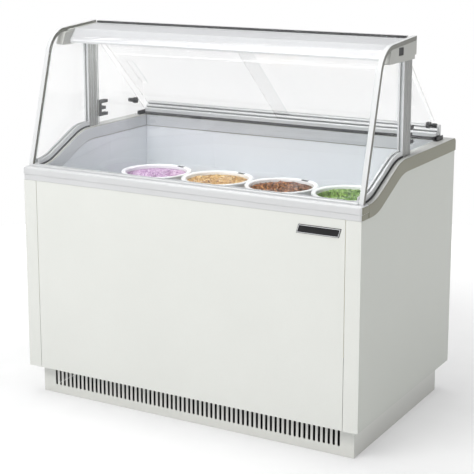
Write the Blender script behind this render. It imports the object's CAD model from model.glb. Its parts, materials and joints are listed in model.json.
import json
import math

import bmesh
import bpy
from mathutils import Matrix, Vector, noise

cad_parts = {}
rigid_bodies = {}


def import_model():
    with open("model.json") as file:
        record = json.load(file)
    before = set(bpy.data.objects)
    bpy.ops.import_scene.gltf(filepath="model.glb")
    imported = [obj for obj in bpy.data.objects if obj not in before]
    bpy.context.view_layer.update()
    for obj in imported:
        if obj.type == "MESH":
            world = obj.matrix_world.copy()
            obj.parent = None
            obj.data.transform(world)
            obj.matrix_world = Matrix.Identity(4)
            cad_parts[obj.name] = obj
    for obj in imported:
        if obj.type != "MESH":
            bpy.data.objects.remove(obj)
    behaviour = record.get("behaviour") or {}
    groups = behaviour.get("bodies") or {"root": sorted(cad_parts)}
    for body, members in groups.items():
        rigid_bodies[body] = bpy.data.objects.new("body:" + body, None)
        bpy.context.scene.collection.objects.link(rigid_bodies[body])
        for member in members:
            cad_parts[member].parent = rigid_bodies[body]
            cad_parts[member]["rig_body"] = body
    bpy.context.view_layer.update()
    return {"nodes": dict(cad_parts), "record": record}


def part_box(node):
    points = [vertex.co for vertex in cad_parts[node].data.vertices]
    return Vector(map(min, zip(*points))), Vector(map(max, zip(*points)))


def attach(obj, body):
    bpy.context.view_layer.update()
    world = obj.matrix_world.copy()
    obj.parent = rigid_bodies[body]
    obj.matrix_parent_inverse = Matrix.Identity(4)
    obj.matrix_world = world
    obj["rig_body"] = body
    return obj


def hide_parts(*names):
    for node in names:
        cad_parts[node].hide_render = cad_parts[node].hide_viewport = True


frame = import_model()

NODES = frame["nodes"]
SLOT_OF = {s["node"]: s["material_slot"] for s in frame["record"]["subparts"]}
MM = 0.001
CREAM_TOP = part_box("ice_cream_1")[1].z


def turns(steps):
    """The angles of even steps round a circle."""
    return [2 * math.pi * i / steps for i in range(steps)]


# ---- Camera and light ----

def place_camera():
    """A long lens from the customer's right, a little above the rim."""
    azimuth, elevation = math.radians(29.64), math.radians(11.31)
    distance = 4.2135
    target = Vector((-0.0083, -0.0047, 0.7517))
    back = Vector((math.sin(azimuth) * math.cos(elevation),
                   -math.cos(azimuth) * math.cos(elevation), math.sin(elevation)))
    data = bpy.data.cameras.new("camera")
    data.lens = 98.43
    data.sensor_width = 36.0
    data.shift_y = -0.14
    data.clip_end = 100.0
    camera = bpy.data.objects.new("camera", data)
    bpy.context.scene.collection.objects.link(camera)
    camera.location = target + back * distance
    camera.rotation_euler = back.to_track_quat("Z", "Y").to_euler()
    bpy.context.scene.camera = camera


def area_light(name, location, target, size, power):
    """A white rectangular soft box that faces its target."""
    data = bpy.data.lights.new(name, "AREA")
    data.shape = "RECTANGLE"
    data.size, data.size_y = size
    data.energy = power
    light = bpy.data.objects.new(name, data)
    bpy.context.scene.collection.objects.link(light)
    light.location = location
    way = Vector(location) - Vector(target)
    light.rotation_euler = way.to_track_quat("Z", "Y").to_euler()


def studio():
    """White floor and surroundings, a large key light in front on the left and a soft top light."""
    world = bpy.data.worlds.new("studio")
    bpy.context.scene.world = world
    world.use_nodes = True
    tree = world.node_tree
    background = tree.nodes["Background"]
    coord = tree.nodes.new("ShaderNodeTexCoord")
    split = tree.nodes.new("ShaderNodeSeparateXYZ")
    tree.links.new(coord.outputs["Generated"], split.inputs["Vector"])
    ramp = tree.nodes.new("ShaderNodeValToRGB")
    horizon, overhead = ramp.color_ramp.elements
    horizon.position, horizon.color = 0.02, (1.0, 1.0, 1.0, 1.0)
    overhead.position, overhead.color = 0.38, (0.18, 0.18, 0.185, 1.0)
    tree.links.new(split.outputs["Z"], ramp.inputs["Fac"])
    tree.links.new(ramp.outputs["Color"], background.inputs["Color"])
    background.inputs["Strength"].default_value = 1.0

    area_light("key", (-1.0, -4.0, 4.2), (0.0, 0.0, 0.5), (3.0, 2.0), 175.0)
    area_light("top", (-0.3, 0.2, 4.6), (-0.1, 0.0, 0.0), (4.0, 4.0), 150.0)

    radius, steps, level = 2.6, 96, -0.0005
    mesh = bpy.data.meshes.new("floor")
    rim = [(radius * math.cos(a), radius * math.sin(a), level) for a in turns(steps)]
    mesh.from_pydata(rim, [], [tuple(range(steps))])
    floor = bpy.data.objects.new("floor", mesh)
    bpy.context.scene.collection.objects.link(floor)
    mesh.materials.append(floor_material(radius))
    shaded_floor()


def shaded_floor():
    """The floor under the cabinet, which the lights don't reach."""
    low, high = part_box("kick_grille_front")
    rear_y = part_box("kick_panels")[1].y
    inset, level = 0.003, -0.0002
    x0, x1, y0, y1 = low.x + inset, high.x - inset, low.y + inset, rear_y - inset
    mesh = bpy.data.meshes.new("floor_shade")
    corners = [(x0, y0, level), (x1, y0, level), (x1, y1, level), (x0, y1, level)]
    mesh.from_pydata(corners, [], [(0, 1, 2, 3)])
    shade = surface("shaded_floor", [(0.045, 0.045, 0.045), (0.07, 0.07, 0.07)], 6.0, rough=(0.8, 0.9))
    mesh.materials.append(shade)
    patch = bpy.data.objects.new("floor_shade", mesh)
    bpy.context.scene.collection.objects.link(patch)


def floor_material(radius):
    """White floor that glows a little more towards its edge, where the lights are weaker."""
    near, dim, bright = 0.9, 0.36, 0.72
    finish = Finish("studio_floor")
    grain = finish.noise(finish.place, Scale=6.0, Detail=4.0)
    finish.feed("Base Color", finish.ramp(grain, [(0.56, 0.56, 0.56), (0.59, 0.59, 0.59)]))
    reach = finish.node("ShaderNodeVectorMath", operation="LENGTH")
    finish.link(finish.place, reach.inputs[0])
    finish.feed("Emission Strength", finish.span(reach.outputs["Value"], near, radius, dim, bright))
    finish.settings(Emission_Color=(1.0, 1.0, 1.0, 1.0), Roughness=0.8)
    return finish.material


# ---- Materials ----

class Finish:
    """A material with a Principled shader, and the nodes that feed it."""

    def __init__(self, name):
        self.material = bpy.data.materials.new(name)
        self.material.use_nodes = True
        self.tree = self.material.node_tree
        self.tree.nodes.clear()
        self.shader = self.node("ShaderNodeBsdfPrincipled")
        output = self.node("ShaderNodeOutputMaterial")
        self.link(self.shader.outputs["BSDF"], output.inputs["Surface"])
        self.place = self.node("ShaderNodeTexCoord").outputs["Object"]

    def node(self, kind, **settings):
        """A new node. The settings are values of its inputs, or else its properties."""
        made = self.tree.nodes.new(kind)
        for key, value in settings.items():
            if key in made.inputs:
                made.inputs[key].default_value = value
            else:
                setattr(made, key, value)
        return made

    def link(self, source, socket):
        """A link between two sockets."""
        self.tree.links.new(source, socket)

    def feed(self, socket, source):
        """A link from the source to the shader's socket of that name."""
        self.link(source, self.shader.inputs[socket])

    def settings(self, **values):
        """Constants of the shader, with an underscore for each space in a socket's name."""
        for key, value in values.items():
            self.shader.inputs[key.replace("_", " ")].default_value = value

    def mapped(self, **settings):
        """The object's coordinates, stretched or shifted."""
        mapping = self.node("ShaderNodeMapping", **settings)
        self.link(self.place, mapping.inputs["Vector"])
        return mapping.outputs["Vector"]

    def height(self):
        """The height over the floor, with the part at rest."""
        split = self.node("ShaderNodeSeparateXYZ")
        self.link(self.place, split.inputs["Vector"])
        return split.outputs["Z"]

    def noise(self, vector, **settings):
        """Noise over the coordinates."""
        texture = self.node("ShaderNodeTexNoise", **settings)
        self.link(vector, texture.inputs["Vector"])
        return texture.outputs["Fac"]

    def span(self, source, start, end, low=0.0, high=1.0):
        """The source, taken from start and end to low and high, and held within them."""
        ranged = self.node("ShaderNodeMapRange")
        for key, value in (("From Min", start), ("From Max", end), ("To Min", low), ("To Max", high)):
            ranged.inputs[key].default_value = value
        self.link(source, ranged.inputs["Value"])
        return ranged.outputs["Result"]

    def ramp(self, source, stops):
        """A ramp through the stops, which are colours at equal steps or (position, colour) pairs."""
        first, width = 0.3, 0.4
        ramp = self.node("ShaderNodeValToRGB")
        elements = ramp.color_ramp.elements
        if not isinstance(stops[0][1], tuple):
            stops = [(first + width * i / max(1, len(stops) - 1), c) for i, c in enumerate(stops)]
        while len(elements) < len(stops):
            elements.new(0.5)
        for element, (position, colour) in zip(elements, stops):
            element.position = position
            element.color = (*colour, 1.0)
        self.link(source, ramp.inputs["Fac"])
        return ramp.outputs["Color"]

    def blend(self, factor, colour, over):
        """The colour, with another laid over it as far as the factor says."""
        mix = self.node("ShaderNodeMix", data_type="RGBA")
        self.link(factor, mix.inputs["Factor"])
        self.link(colour, mix.inputs[6])
        mix.inputs[7].default_value = (*over, 1.0)
        return mix.outputs[2]

    def relief(self, source, distance, strength=1.0):
        """Bumps after the source; distance is their depth in metres."""
        bump = self.node("ShaderNodeBump", Strength=strength, Distance=distance)
        self.link(source, bump.inputs["Height"])
        self.feed("Normal", bump.outputs["Normal"])


def surface(name, tones, scale, stretch=(1.0, 1.0, 1.0), rough=(0.4, 0.5), grain=(0.0001, 600.0),
            grain_stretch=(1.0, 1.0, 1.0), specks=None, dust=None, **sockets):
    """A finish with tone and roughness that vary over the surface, and fine relief.
    Grain is (depth in metres, scale). Specks are (colour, scale, share). Dust is (colour, height in metres)
    and fades upwards from the floor."""
    speck_start, speck_full, most_dust = 0.62, 0.70, 0.75
    finish = Finish(name)
    broad = finish.noise(finish.mapped(Scale=stretch), Scale=scale, Detail=6.0, Roughness=0.6)
    colour = finish.ramp(broad, tones)
    if specks:
        speck_colour, speck_scale, share = specks
        dots = finish.noise(finish.place, Scale=speck_scale, Detail=2.0)
        dotted = finish.span(dots, speck_start - share, speck_full - share)
        colour = finish.blend(dotted, colour, speck_colour)
    if dust:
        dust_colour, height = dust
        patch = finish.node("ShaderNodeMath", operation="MULTIPLY")
        finish.link(finish.span(finish.height(), height, 0.0, 0.0, most_dust), patch.inputs[0])
        finish.link(broad, patch.inputs[1])
        colour = finish.blend(patch.outputs["Value"], colour, dust_colour)
    finish.feed("Base Color", colour)
    finish.feed("Roughness", finish.span(broad, 0.3, 0.7, *rough))
    depth, fine_scale = grain
    finish.relief(finish.noise(finish.mapped(Scale=grain_stretch), Scale=fine_scale, Detail=3.0), depth)
    finish.settings(**sockets)
    return finish.material


def clear(name, tint, alpha, roughness, ior):
    """A clear pane: faint ripple in its faces and a light film that varies in roughness."""
    film_tint, film_roughness = 1.03, 0.03
    finish = Finish(name)
    film = finish.noise(finish.place, Scale=9.0, Detail=5.0)
    finish.feed("Base Color", finish.ramp(film, [tint, tuple(min(1.0, c * film_tint) for c in tint)]))
    finish.feed("Roughness", finish.span(film, 0.0, 1.0, roughness, roughness + film_roughness))
    finish.relief(finish.noise(finish.place, Scale=3.0, Detail=1.0), 0.0004, 0.15)
    finish.settings(Transmission_Weight=1.0, IOR=ior, Alpha=alpha)
    return finish.material


def cream_material(name, tones, chips, sheen_roughness):
    """Frozen dessert: swirled tones, chips of other colours, darker hollows, and icy relief.
    A chip is (colour, scale, and the noise values where it starts and is full)."""
    hollow_start, hollow_full, hollow_tone = 0.0078, 0.0115, 0.45
    rough_spread = 0.1
    finish = Finish(name)
    swirl = finish.noise(finish.place, Scale=60.0, Detail=5.0, Distortion=1.2)
    colour = finish.ramp(swirl, tones)
    for i, (chip, scale, start, full) in enumerate(chips):
        shifted = finish.mapped(Location=(3.1 * i, 1.7 * i, 0.9 * i))
        dots = finish.noise(shifted, Scale=scale, Detail=2.0, Distortion=0.6)
        colour = finish.blend(finish.span(dots, start, full), colour, chip)
    depth = finish.span(finish.height(), CREAM_TOP - hollow_start, CREAM_TOP - hollow_full)
    colour = finish.blend(depth, colour, [c * hollow_tone for c in tones[0]])
    finish.feed("Base Color", colour)
    least, most = sheen_roughness - rough_spread, sheen_roughness + rough_spread
    finish.feed("Roughness", finish.span(swirl, 0.0, 1.0, least, most))
    finish.relief(finish.noise(finish.place, Scale=420.0, Detail=5.0, Roughness=0.7), 0.0012, 0.8)
    return finish.material


def fin_material():
    """Pressed aluminium fins: close upright lines."""
    finish = Finish("fin_stack")
    lines = finish.node("ShaderNodeTexWave", Scale=160.0, Distortion=0.2)
    finish.link(finish.place, lines.inputs["Vector"])
    finish.feed("Base Color", finish.ramp(lines.outputs["Fac"], [(0.22, 0.22, 0.23), (0.72, 0.73, 0.74)]))
    finish.relief(lines.outputs["Fac"], 0.0008)
    finish.settings(Metallic=0.8, Roughness=0.45)
    return finish.material


def housing_material():
    """Folded sheet over the lamp: grey on top, paler at its lower front edge, with a fine drawn grain."""
    pale_below, grey_above = 1.158, 1.168
    pale, grey = (0.82, 0.83, 0.84), (0.53, 0.535, 0.545)
    finish = Finish("housing_sheet")
    rise = finish.span(finish.height(), pale_below, grey_above)
    finish.feed("Base Color", finish.ramp(rise, [(0.0, pale), (1.0, grey)]))
    grain = finish.noise(finish.place, Scale=300.0, Detail=4.0)
    finish.feed("Roughness", finish.span(grain, 0.0, 1.0, 0.34, 0.46))
    finish.relief(grain, 0.00005)
    return finish.material


# Stretch of a drawn finish: few changes along its lines, many across them
LENGTHWAYS = (3.0, 900.0, 900.0)
UPRIGHT = (900.0, 900.0, 3.0)
IN_PROFILE = (900.0, 4.0, 4.0)


def brushed(name, stretch, tones=((0.56, 0.57, 0.575), (0.66, 0.67, 0.675)), rough=(0.30, 0.42),
            metallic=0.25):
    """Drawn and anodised metal with fine lines along its length."""
    return surface(name, list(tones), 1.0, stretch=stretch, rough=rough, grain=(0.00003, 1.0),
                   grain_stretch=stretch, Metallic=metallic)


MATERIALS = {
    "white_paint": surface(
        "powder_coat_white", [(0.66, 0.67, 0.635), (0.69, 0.70, 0.665)], 2.2, rough=(0.36, 0.46),
        grain=(0.00012, 520.0), specks=((0.64, 0.65, 0.62), 900.0, 0.02), dust=((0.60, 0.59, 0.55), 0.09),
        Specular_IOR_Level=0.45),
    "steel_frame": surface(
        "frame_black", [(0.030, 0.030, 0.032), (0.045, 0.045, 0.047)], 14.0, rough=(0.45, 0.6),
        grain=(0.00015, 420.0)),
    "galvanised_steel": surface(
        "zinc_sheet", [(0.50, 0.52, 0.54), (0.62, 0.64, 0.66), (0.55, 0.57, 0.59)], 60.0, rough=(0.35, 0.55),
        grain=(0.00008, 240.0), Metallic=0.8),
    "stainless": surface(
        "stainless_sheet", [(0.62, 0.63, 0.64), (0.70, 0.71, 0.72)], 1.0, stretch=LENGTHWAYS,
        rough=(0.25, 0.38), grain=(0.00003, 1.0), grain_stretch=LENGTHWAYS, Metallic=0.9),
    "dark_plate": surface(
        "plate_dark", [(0.012, 0.012, 0.013), (0.020, 0.020, 0.021)], 40.0, rough=(0.42, 0.55),
        grain=(0.00004, 900.0), Specular_IOR_Level=0.2),
    "foam": surface(
        "foam_cells", [(0.72, 0.62, 0.36), (0.82, 0.74, 0.48)], 90.0, rough=(0.8, 0.95),
        grain=(0.0010, 700.0)),
    "liner_white": surface(
        "liner_coat", [(0.80, 0.83, 0.86), (0.84, 0.87, 0.90)], 3.0, rough=(0.34, 0.46),
        grain=(0.00010, 460.0), Specular_IOR_Level=0.4),
    "copper": surface(
        "copper_tube", [(0.55, 0.24, 0.14), (0.80, 0.42, 0.28)], 35.0, rough=(0.25, 0.45),
        grain=(0.00006, 500.0), Metallic=0.95),
    "rim_white": surface(
        "rim_coat_white", [(0.555, 0.56, 0.565), (0.59, 0.595, 0.60)], 4.0, rough=(0.30, 0.40),
        grain=(0.00008, 560.0), Specular_IOR_Level=0.5),
    "rim_grey": surface(
        "rim_coat_grey", [(0.215, 0.212, 0.155), (0.25, 0.247, 0.185)], 4.0, rough=(0.34, 0.46),
        grain=(0.00008, 560.0), Specular_IOR_Level=0.5),
    "collar_grey": surface(
        "collar_plastic", [(0.56, 0.58, 0.60), (0.60, 0.62, 0.64)], 8.0, rough=(0.38, 0.5),
        grain=(0.00010, 700.0)),
    "anodised_aluminium": brushed("aluminium_lengthways", LENGTHWAYS),
    "clear_glass": clear("glass_clear", (0.95, 0.985, 0.99), 0.07, 0.0, 1.45),
    "clear_acrylic": clear("acrylic_clear", (0.96, 0.985, 0.985), 0.07, 0.01, 1.40),
    "diffuser": surface(
        "diffuser_opal", [(0.88, 0.89, 0.90), (0.92, 0.93, 0.94)], 12.0, rough=(0.4, 0.5),
        grain=(0.0002, 380.0), Emission_Color=(0.97, 0.985, 1.0, 1.0), Emission_Strength=2.8),
    "lamp_tube": surface(
        "lamp_phosphor", [(0.90, 0.91, 0.92), (0.95, 0.96, 0.97)], 18.0, rough=(0.15, 0.25),
        grain=(0.00002, 800.0), Coat_Weight=0.5),
    "white_plastic": surface(
        "plastic_white", [(0.80, 0.81, 0.81), (0.84, 0.85, 0.85)], 10.0, rough=(0.32, 0.44),
        grain=(0.00010, 750.0)),
    "black_rubber": surface(
        "rubber_black", [(0.030, 0.030, 0.032), (0.050, 0.050, 0.052)], 45.0, rough=(0.6, 0.78),
        grain=(0.00018, 900.0)),
    "cap_grey": surface(
        "cap_plastic", [(0.44, 0.445, 0.42), (0.50, 0.505, 0.475)], 10.0, rough=(0.42, 0.55),
        grain=(0.00022, 900.0)),
    "black_plastic": surface(
        "plastic_black", [(0.018, 0.018, 0.020), (0.030, 0.030, 0.032)], 30.0, rough=(0.38, 0.5),
        grain=(0.00014, 1100.0)),
    "tub_white": surface(
        "tub_plastic", [(0.86, 0.87, 0.87), (0.90, 0.91, 0.91)], 14.0, rough=(0.28, 0.40),
        grain=(0.00008, 600.0)),
    "black_enamel": surface(
        "shell_enamel", [(0.016, 0.016, 0.018), (0.030, 0.030, 0.032)], 16.0, rough=(0.18, 0.32),
        grain=(0.00012, 300.0), Coat_Weight=0.4),
    "fin_aluminium": fin_material(),
    "cream_lilac": cream_material(
        "cream_berry", [(0.34, 0.18, 0.36), (0.54, 0.34, 0.54), (0.70, 0.52, 0.69)],
        [((0.26, 0.11, 0.29), 120.0, 0.58, 0.66), ((0.84, 0.74, 0.84), 100.0, 0.57, 0.66)], 0.55),
    "cream_caramel": cream_material(
        "cream_toffee", [(0.30, 0.15, 0.035), (0.54, 0.31, 0.09), (0.70, 0.49, 0.21)],
        [((0.17, 0.065, 0.012), 130.0, 0.56, 0.61), ((0.85, 0.70, 0.40), 110.0, 0.56, 0.63)], 0.5),
    "cream_chocolate": cream_material(
        "cream_cocoa", [(0.05, 0.013, 0.005), (0.17, 0.050, 0.014), (0.30, 0.105, 0.036)],
        [((0.56, 0.25, 0.075), 130.0, 0.56, 0.61), ((0.014, 0.005, 0.003), 120.0, 0.55, 0.60)], 0.45),
    "cream_mint": cream_material(
        "cream_pistachio", [(0.045, 0.11, 0.012), (0.13, 0.26, 0.035), (0.28, 0.46, 0.10)],
        [((0.50, 0.70, 0.24), 120.0, 0.57, 0.63), ((0.015, 0.045, 0.006), 130.0, 0.55, 0.60)], 0.5),
}
PANE_EDGE = clear("pane_edge", (0.62, 0.74, 0.72), 0.24, 0.12, 1.45)
RIM_TOP = surface("rim_coat_top", [(0.50, 0.50, 0.48), (0.55, 0.55, 0.53)], 4.0, rough=(0.30, 0.42),
                  grain=(0.00008, 560.0))
TRIM_FACE = surface("trim_white", [(0.60, 0.61, 0.61), (0.66, 0.67, 0.67)], 1.0, stretch=IN_PROFILE,
                    rough=(0.30, 0.42), grain=(0.00003, 1.0), grain_stretch=IN_PROFILE)
TRIM_SIDE = surface("trim_shade", [(0.17, 0.17, 0.15), (0.21, 0.21, 0.185)], 1.0, stretch=IN_PROFILE,
                    rough=(0.35, 0.48), grain=(0.00003, 1.0), grain_stretch=IN_PROFILE)
SIDE_PAINT = surface("powder_coat_side", [(0.60, 0.62, 0.575), (0.625, 0.645, 0.60)], 2.2,
                     rough=(0.36, 0.46), grain=(0.00012, 520.0), dust=((0.52, 0.52, 0.48), 0.12),
                     Specular_IOR_Level=0.45)
POST_SIDE = brushed("aluminium_shade", UPRIGHT, tones=((0.26, 0.265, 0.25), (0.34, 0.345, 0.33)),
                    metallic=0.3)
ALUMINIUM_UPRIGHT = brushed("aluminium_upright", UPRIGHT, tones=((0.58, 0.59, 0.60), (0.68, 0.69, 0.70)))
ALUMINIUM_PROFILE = brushed("aluminium_profile", IN_PROFILE)
SCREW_STEEL = surface("screw_zinc", [(0.55, 0.56, 0.57), (0.70, 0.71, 0.72)], 300.0, rough=(0.3, 0.45),
                      grain=(0.00003, 1500.0), Metallic=0.9)


# ---- Meshes ----

FLAT = math.radians(0.4)
# Nodes with holes or pockets in their flat faces
PIERCED = ("end_caps", "control_box", "service_grille", "kick_grille_front", "base_pan", "tank_liner",
           "foam_insulation", "fan_shroud", "wing_glasses", "power_inlet", "fan_blade")


def smooth(mesh, degrees):
    """Smooth shading with sharp edges over the angle."""
    mesh.shade_smooth()
    mesh.set_sharp_from_angle(angle=math.radians(degrees))


def add_piece(name, mesh, body, slot, material=None, angle=32.0, rounding=None):
    """Links a mesh as a piece with its material, shading angle and optional bevel (width in mm, segments)."""
    piece = bpy.data.objects.new(name, mesh)
    bpy.context.scene.collection.objects.link(piece)
    mesh.materials.clear()
    mesh.materials.append(material or MATERIALS[slot])
    smooth(mesh, angle)
    if rounding:
        width, segments = rounding
        bevel = piece.modifiers.new("edge", "BEVEL")
        bevel.width = width * MM
        bevel.segments = segments
        bevel.limit_method = "ANGLE"
        bevel.angle_limit = math.radians(angle)
        bevel.harden_normals = True
    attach(piece, body)
    return piece


def cleaned_mesh(node, name):
    """The node's mesh with its split corners joined and its flat faces merged."""
    bm = bmesh.new()
    bm.from_mesh(NODES[node].data)
    bmesh.ops.remove_doubles(bm, verts=bm.verts, dist=1e-5)
    if node in PIERCED:
        bmesh.ops.join_triangles(bm, faces=bm.faces, angle_face_threshold=FLAT,
                                 angle_shape_threshold=math.pi, cmp_seam=False, cmp_sharp=False)
    else:
        bmesh.ops.dissolve_limit(bm, angle_limit=FLAT, verts=bm.verts, edges=bm.edges)
    mesh = bpy.data.meshes.new(name)
    bm.to_mesh(mesh)
    bm.free()
    if "custom_normal" in mesh.attributes:
        mesh.attributes.remove(mesh.attributes["custom_normal"])
    return mesh


def remake(node, rounding, material=None, angle=32.0):
    """The node again with rounded edges, standing for it."""
    name = "v_" + node
    mesh = cleaned_mesh(node, name)
    piece = add_piece(name, mesh, NODES[node]["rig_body"], SLOT_OF[node], material, angle, rounding)
    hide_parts(node)
    return piece


def repaint(piece, material, faces_of):
    """Gives a second material to the faces whose outward way and centre pass the test."""
    piece.data.materials.append(material)
    index = len(piece.data.materials) - 1
    for face in piece.data.polygons:
        if faces_of(face.normal, face.center):
            face.material_index = index


def mesh_of(name, points, faces):
    """A mesh from its points and faces."""
    mesh = bpy.data.meshes.new(name)
    mesh.from_pydata(points, [], faces)
    mesh.update()
    return mesh


def bands(rings):
    """Four-sided faces between each closed ring and the next one."""
    return [(a[s], a[(s + 1) % len(a)], b[(s + 1) % len(a)], b[s])
            for a, b in zip(rings, rings[1:]) for s in range(len(a))]


def lathe(name, profile, centre, steps=96):
    """A profile of (radius, height) turned round an upright axis; a radius of 0 closes it at the axis."""
    points, rings = [], []
    for r, z in profile:
        if r == 0:
            rings.append([len(points)])
            points.append((centre[0], centre[1], centre[2] + z))
            continue
        ring = []
        for a in turns(steps):
            ring.append(len(points))
            points.append((centre[0] + r * math.cos(a), centre[1] + r * math.sin(a), centre[2] + z))
        rings.append(ring)
    faces = []
    for low, high in zip(rings, rings[1:]):
        for i in range(steps):
            j = (i + 1) % steps
            if len(low) == 1:
                faces.append((low[0], high[j], high[i]))
            elif len(high) == 1:
                faces.append((low[i], low[j], high[0]))
            else:
                faces.append((low[i], low[j], high[j], high[i]))
    return mesh_of(name, points, faces)


def arc_points(centre, r, start, end, steps):
    """Points along an arc between two angles in degrees."""
    turn = [math.radians(start + (end - start) * i / steps) for i in range(steps + 1)]
    return [(centre[0] + r * math.cos(a), centre[1] + r * math.sin(a)) for a in turn]


# ---- Front rim ----

def front_rim():
    """Stacked outlines, each set back from the nose: a rounded top over a set-back lower band."""
    low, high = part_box("rim_front")
    corner, least = 0.010, 0.0004
    # (set-back from the outer edge, height above the underside)
    profile = [
        (0.0100, 0.0000), (0.0030, 0.0000), (0.0020, 0.0008), (0.0020, 0.0166), (0.0026, 0.0174),
        (0.0014, 0.0180), (0.0004, 0.0190), (0.0000, 0.0204), (0.0000, 0.0340), (0.0004, 0.0368),
        (0.0016, 0.0392), (0.0036, 0.0408), (0.0062, 0.0417), (0.0095, 0.0420),
    ]
    steps = 7
    points, rings = [], []
    for inset, z in profile:
        r = max(corner - inset, least)
        x0, x1, y0 = low.x + inset, high.x - inset, low.y + inset
        outline = [(x0, high.y)]
        outline += arc_points((x0 + r, y0 + r), r, 180, 270, steps)
        outline += arc_points((x1 - r, y0 + r), r, 270, 360, steps)
        outline += [(x1, high.y)]
        rings.append([len(points) + i for i in range(len(outline))])
        points += [(x, y, low.z + z) for x, y in outline]
    faces = bands(rings) + [tuple(reversed(rings[0])), tuple(rings[-1])]
    mesh = mesh_of("v_rim_front", points, faces)
    rim = add_piece("v_rim_front", mesh, "cabinet", "rim_white", angle=28.0)
    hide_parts("rim_front")
    repaint(rim, MATERIALS["rim_grey"], lambda way, at: abs(way.x) > 0.75)


# ---- Rear rail ----

def rail_foot():
    """A black strip along the foot of the rail's front lip."""
    strip = 0.0045
    rail = bpy.data.objects["v_rear_rail"]
    foot_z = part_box("rear_rail")[0].z + strip
    bm = bmesh.new()
    bm.from_mesh(rail.data)
    bmesh.ops.bisect_plane(bm, geom=bm.verts[:] + bm.edges[:] + bm.faces[:],
                           plane_co=(0, 0, foot_z), plane_no=(0, 0, 1))
    bm.to_mesh(rail.data)
    bm.free()
    smooth(rail.data, 32.0)
    repaint(rail, MATERIALS["black_rubber"], lambda way, at: way.y < -0.95 and at.z < foot_z)


# ---- Tubs ----

def tub(i):
    """A tapered tub with a base ring and a rolled lip, and the grip tab on it."""
    node = f"tub_{i}"
    low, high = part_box(node)
    centre = ((low.x + high.x) / 2, (low.y + high.y) / 2, low.z)
    r, h = (high.x - low.x) / 2, high.z - low.z
    base, lip, wall = 0.100, 0.015, 0.0025
    inner = r - lip
    # (radius, height): under the base, up the outside, round the lip, and down the inside
    profile = [(0, 0.0025), (base - 0.012, 0.0025), (base - 0.010, 0.0), (base - 0.003, 0.0), (base, 0.003)]
    profile += [(base + (inner + wall - base) * t, 0.003 + (h - 0.012) * t) for t in (0.25, 0.5, 0.75)]
    profile += [(inner + wall, h - 0.009), (inner + wall + 0.002, h - 0.0072)]
    profile += [(inner + wall + 0.004, h - 0.006), (r - 0.0022, h - 0.006)]
    profile += [(r - 0.0022 + 0.0022 * math.cos(a), h - 0.0030 + 0.0030 * math.sin(a))
                for a in [math.radians(t) for t in (-60, -30, 0, 30, 60, 90)]]
    profile += [(r - 0.006, h - 0.0004), (inner + 0.004, h - 0.0008)]
    profile += [(inner + 0.0018, h - 0.0012), (inner + 0.0005, h - 0.0026), (inner, h - 0.0050)]
    profile += [(base - wall, 0.0045), (base - wall - 0.003, 0.003), (0, 0.003)]
    body = NODES[node]["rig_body"]
    piece = add_piece(f"v_{node}", lathe(f"v_{node}", profile, centre), body, "tub_white", angle=40.0)
    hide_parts(node)
    grip_tab(i, body, centre, inner, low.z + h)


def grip_tab(i, body, centre, inner, top):
    """A black grip tab on the tub's lip, at the far right."""
    turn = math.radians(72)
    half_w, half_d, thick, sunk = 0.016, 0.0052, 0.0028, 0.0030
    corners = [(-half_w, -half_d), (half_w, -half_d), (half_w, half_d), (-half_w, half_d)]
    points = [(x, y, z) for z in (0.0, thick) for x, y in corners]
    faces = [(0, 3, 2, 1), (4, 5, 6, 7), (0, 1, 5, 4), (1, 2, 6, 5), (2, 3, 7, 6), (3, 0, 4, 7)]
    mesh = mesh_of(f"tab_{i}", points, faces)
    reach = inner + half_d
    at = Vector((centre[0] + reach * math.cos(turn), centre[1] + reach * math.sin(turn), top - sunk))
    mesh.transform(Matrix.Translation(at) @ Matrix.Rotation(turn - math.pi / 2, 4, "Z"))
    add_piece(f"tub_tab_{i}", mesh, body, "black_plastic", rounding=(0.9, 2))


# ---- Ice cream ----

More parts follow.
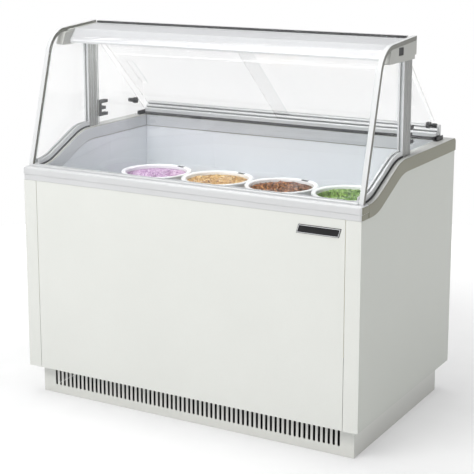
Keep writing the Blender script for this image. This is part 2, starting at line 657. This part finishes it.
def ice_cream(i, ridge, crumb, slope):
    """A scooped and frosted surface inside the tub, closed by a side wall and a floor. ridge and crumb are
    the heights of the scoop marks and of the crumbs, slope is how far one side is scooped lower."""
    node = f"ice_cream_{i}"
    low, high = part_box(node)
    centre = Vector(((low.x + high.x) / 2, (low.y + high.y) / 2, 0))
    edge_r, base_r = (high.x - low.x) / 2, 0.0966
    edge_drop, dome_h, sink, headroom = 0.009, 0.005, 0.0015, 0.0004
    mark_scale, crumb_scale, pit_scale, pit_level = 14.0, 120.0, 60.0, 0.25
    edge_z = high.z - edge_drop
    rings, steps, spacing = 64, 150, 0.92
    points, faces = [(centre.x, centre.y)], []
    for k in range(1, rings + 1):
        r = edge_r * (k / rings) ** spacing
        points += [(centre.x + r * math.cos(a), centre.y + r * math.sin(a)) for a in turns(steps)]
    shaped = []
    for x, y in points:
        r = math.hypot(x - centre.x, y - centre.y) / edge_r
        marks = noise.fractal(Vector((x * mark_scale, y * mark_scale, 3.7 * i)), 0.9, 2.2, 4) * ridge
        small = noise.fractal(Vector((x * crumb_scale, y * crumb_scale, 9.1 * i)), 0.7, 2.1, 4) * crumb
        pitted = noise.noise(Vector((x * pit_scale, y * pit_scale, 5.3 * i)))
        pits = max(0.0, pitted - pit_level) * crumb * 2.0
        dome = dome_h * (1 - r * r) ** 0.6 if r < 1 else 0.0
        lean = slope * (x - centre.x) / edge_r
        z = edge_z + dome + (marks + small - pits + lean) * (1 - r ** 6) - sink
        shaped.append((x, y, min(z, high.z - headroom)))
    for s in range(steps):
        faces.append((0, 1 + s, 1 + (s + 1) % steps))
    for k in range(rings - 1):
        a, b = 1 + k * steps, 1 + (k + 1) * steps
        for s in range(steps):
            t = (s + 1) % steps
            faces.append((a + s, b + s, b + t, a + t))
    n = len(shaped)
    outer = 1 + (rings - 1) * steps
    shaped += [(centre.x + base_r * math.cos(a), centre.y + base_r * math.sin(a), low.z)
               for a in turns(steps)]
    for s in range(steps):
        t = (s + 1) % steps
        faces.append((outer + s, n + s, n + t, outer + t))
    faces.append(tuple(n + s for s in reversed(range(steps))))
    mesh = mesh_of(f"v_{node}", shaped, faces)
    piece = add_piece(f"v_{node}", mesh, NODES[node]["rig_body"], SLOT_OF[node], angle=70.0)
    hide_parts(node)


# ---- Nameplate ----

def nameplate():
    """A dark slanted plate with a raised silver line inside its edge."""
    low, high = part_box("nameplate")
    slant, margin, border, proud = 0.008, 0.0017, 0.0017, 0.0006
    clearance, face_inset, face_step = 0.0002, 0.0008, 0.0004
    corners = [(low.x, low.z), (high.x - slant, low.z), (high.x, high.z), (low.x + slant, high.z)]
    middle = Vector((sum(c[0] for c in corners) / 4, sum(c[1] for c in corners) / 4))
    lean = math.hypot(slant, high.z - low.z) / (high.z - low.z)
    half = Vector(((high.x - slant - low.x) / 2, (high.z - low.z) / 2))

    def outline(inset):
        """The parallelogram set in by inset on every side."""
        w, h = half.x - inset * lean, half.y - inset
        shift = slant / 2 * h / half.y
        return [Vector((middle.x - w - shift, middle.y - h)), Vector((middle.x + w - shift, middle.y - h)),
                Vector((middle.x + w + shift, middle.y + h)), Vector((middle.x - w + shift, middle.y + h))]

    def ring(name, rows, slot, material, closed):
        """Outlines at (inset, y) rows, joined in order; closed joins the last to the first."""
        points = [(p.x, y, p.y) for inset, y in rows for p in outline(inset)]
        faces = []
        count = len(rows)
        for k in range(count if closed else count - 1):
            a, b = 4 * k, 4 * ((k + 1) % count)
            faces += [(a + s, a + (s + 1) % 4, b + (s + 1) % 4, b + s) for s in range(4)]
        if not closed:
            faces += [(3, 2, 1, 0), tuple(4 * (count - 1) + s for s in range(4))]
        return add_piece(name, mesh_of(name, points, faces), "cabinet", slot, material, rounding=(0.25, 2))

    front, sunk = low.y, low.y + clearance
    rows = [(clearance, high.y), (clearance, front + face_step), (face_inset, front)]
    plate = ring("v_nameplate", rows, "dark_plate", None, False)
    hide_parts("nameplate")
    inner = margin + border
    rows = [(margin, sunk), (margin, front - proud), (inner, front - proud), (inner, sunk)]
    ring("nameplate_border", rows, "anodised_aluminium", ALUMINIUM_UPRIGHT, True)


# ---- Screws ----

def screws(name, places, r=0.0038):
    """Domed heads with a cross recess. A place is (centre, outward way, turn in degrees)."""
    bm = bmesh.new()
    steps, quarter = 20, 5
    # Shares of the head's radius: (radius, height) of the dome's rings, then the recess, whose four arms
    # reach to arm_end and slope from its floor up to the shoulders between them
    rows = [(1.0, 0.0), (0.98, 0.22), (0.86, 0.42), (0.62, 0.56), (0.42, 0.60)]
    arm_end, shoulder_r, recess_floor, shoulder_h = 0.34, 0.13, 0.22, 0.50
    for centre, way, turn in places:
        lay = Matrix.Translation(centre) @ Vector(way).to_track_quat("Z", "Y").to_matrix().to_4x4()
        lay = lay @ Matrix.Rotation(math.radians(turn), 4, "Z")
        rings = []
        for scale, height in rows:
            ring = []
            for a in turns(steps):
                point = Vector((r * scale * math.cos(a), r * scale * math.sin(a), r * height))
                ring.append(bm.verts.new(lay @ point))
            rings.append(ring)
        inner = []
        for s, a in enumerate(turns(steps)):
            reach = arm_end if s % quarter == 0 else shoulder_r
            height = recess_floor if s % quarter in (0, 1, quarter - 1) else shoulder_h
            point = Vector((r * reach * math.cos(a), r * reach * math.sin(a), r * height))
            inner.append(bm.verts.new(lay @ point))
        rings.append(inner)
        for face in bands(rings) + [rings[-1], rings[0][::-1]]:
            bm.faces.new(face)
    mesh = bpy.data.meshes.new(name)
    bm.to_mesh(mesh)
    bm.free()
    add_piece(name, mesh, "cabinet", "stainless", SCREW_STEEL, angle=40.0)


def all_screws():
    """Screws of the rear panel and of the service grille in it."""
    low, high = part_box("rear_panel")
    y = high.y
    back = (0, 1, 0)
    edge = 0.02
    side, corner, above, below = 0.012, 0.015, 0.012, 0.014
    heights = (low.z + edge, (low.z + high.z) / 2, high.z - edge)
    spots = [(s * (high.x - edge), z) for s in (-1, 1) for z in heights]
    places = [(Vector((x, y, z)), back, 17 * k) for k, (x, z) in enumerate(spots)]
    low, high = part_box("service_grille")
    spots = [(s * (high.x - side), z) for s in (-1, 1) for z in (low.z + corner, high.z - corner)]
    spots += [(0.0, high.z - above), (0.0, low.z + below)]
    places += [(Vector((x, y, z)), back, 31 * k) for k, (x, z) in enumerate(spots)]
    screws("panel_screws", places)


# ---- Plain remakes ----

# Node: width of the rounding in mm, and its segments
REMADE = {
    "base_frame": (1.2, 2), "base_pan": (0.5, 1), "kick_panels": (0.6, 2), "front_panel": (0.9, 3),
    "side_panel_left": (0.9, 3), "side_panel_right": (0.9, 3), "rear_panel": (0.9, 2),
    "foam_insulation": (1.0, 1), "tank_liner": (0.7, 2), "rim_left": (3.0, 4), "rim_right": (3.0, 4),
    "rim_rear": (2.0, 3), "breaker_collar": (0.7, 2), "front_glass_seat": (0.4, 2),
    "light_diffuser": (0.6, 2), "lamp_holders": (1.5, 3), "top_rail": (0.8, 2),
    "upper_track": (0.5, 2), "seal_strips": (0.6, 2), "end_caps": (1.2, 3), "light_switch": (0.6, 2),
    "wing_brackets": (0.7, 2), "wing_knob_left": (0.8, 2), "wing_knob_right": (0.8, 2), "rear_rail": (0.6, 2),
    "can_rack": (0.8, 2), "condenser_coil": (0.4, 1), "fan_shroud": (0.4, 1), "fan_motor": (1.5, 2),
    "fan_blade": (0.5, 1), "control_box": (0.5, 1), "thermostat_knob": (0.7, 2), "power_inlet": (0.5, 2),
    "drain_pipe": (0.5, 1), "drain_plug": (0.8, 2), "front_glass": (0.5, 2), "side_glasses": (0.5, 2),
    "wing_glasses": (0.5, 2), "door_left": (0.5, 2), "door_right": (0.5, 2), "compressor": (1.0, 2),
    "kick_grille_front": (0.3, 1), "service_grille": (0.3, 1),
}
# Node: the same, with a material of its own
SPECIAL_METAL = {"posts": (0.6, 2, ALUMINIUM_UPRIGHT), "glass_trims": (1.2, 3, TRIM_FACE),
                 "side_channels": (0.6, 2, ALUMINIUM_PROFILE), "light_housing": (0.8, 2, housing_material())}


def faces_up(way, at):
    """Faces that look upwards."""
    return way.z > 0.6


def faces_sideways(way, at):
    """Faces that look to the left or the right."""
    return abs(way.x) > 0.7


def pane_edges(way, at):
    """Edges of a pane whose broad faces look to the left and the right."""
    return abs(way.x) < 0.3


# Node, second material, and which of its faces have it
SECOND_MATERIALS = (
    ("rim_left", RIM_TOP, faces_up), ("side_panel_left", SIDE_PAINT, faces_sideways),
    ("rim_right", RIM_TOP, faces_up), ("side_panel_right", SIDE_PAINT, faces_sideways),
    ("rim_rear", RIM_TOP, faces_up), ("glass_trims", TRIM_SIDE, faces_sideways),
    ("posts", POST_SIDE, faces_sideways), ("door_left", PANE_EDGE, faces_sideways),
    ("door_right", PANE_EDGE, faces_sideways), ("wing_glasses", PANE_EDGE, pane_edges),
    ("side_glasses", PANE_EDGE, pane_edges),
)


def main():
    """Camera, light, and every piece of the cabinet."""
    place_camera()
    studio()
    for node, rounding in REMADE.items():
        remake(node, rounding)
    for node, (width, segments, material) in SPECIAL_METAL.items():
        remake(node, (width, segments), material)
    for node, material, faces_of in SECOND_MATERIALS:
        repaint(bpy.data.objects["v_" + node], material, faces_of)
    rail_foot()
    for node in ("evaporator_coil", "refrigerant_lines", "light_tube"):
        remake(node, None, angle=40.0)
    front_rim()
    for i in (1, 2, 3, 4):
        tub(i)
    ice_cream(1, 0.007, 0.0045, 0.002)
    ice_cream(2, 0.006, 0.0070, 0.001)
    ice_cream(3, 0.005, 0.0085, -0.001)
    ice_cream(4, 0.006, 0.0085, 0.001)
    nameplate()
    all_screws()
    scene = bpy.context.scene
    scene.view_settings.view_transform = "Standard"
    scene.view_settings.look = "None"


main()
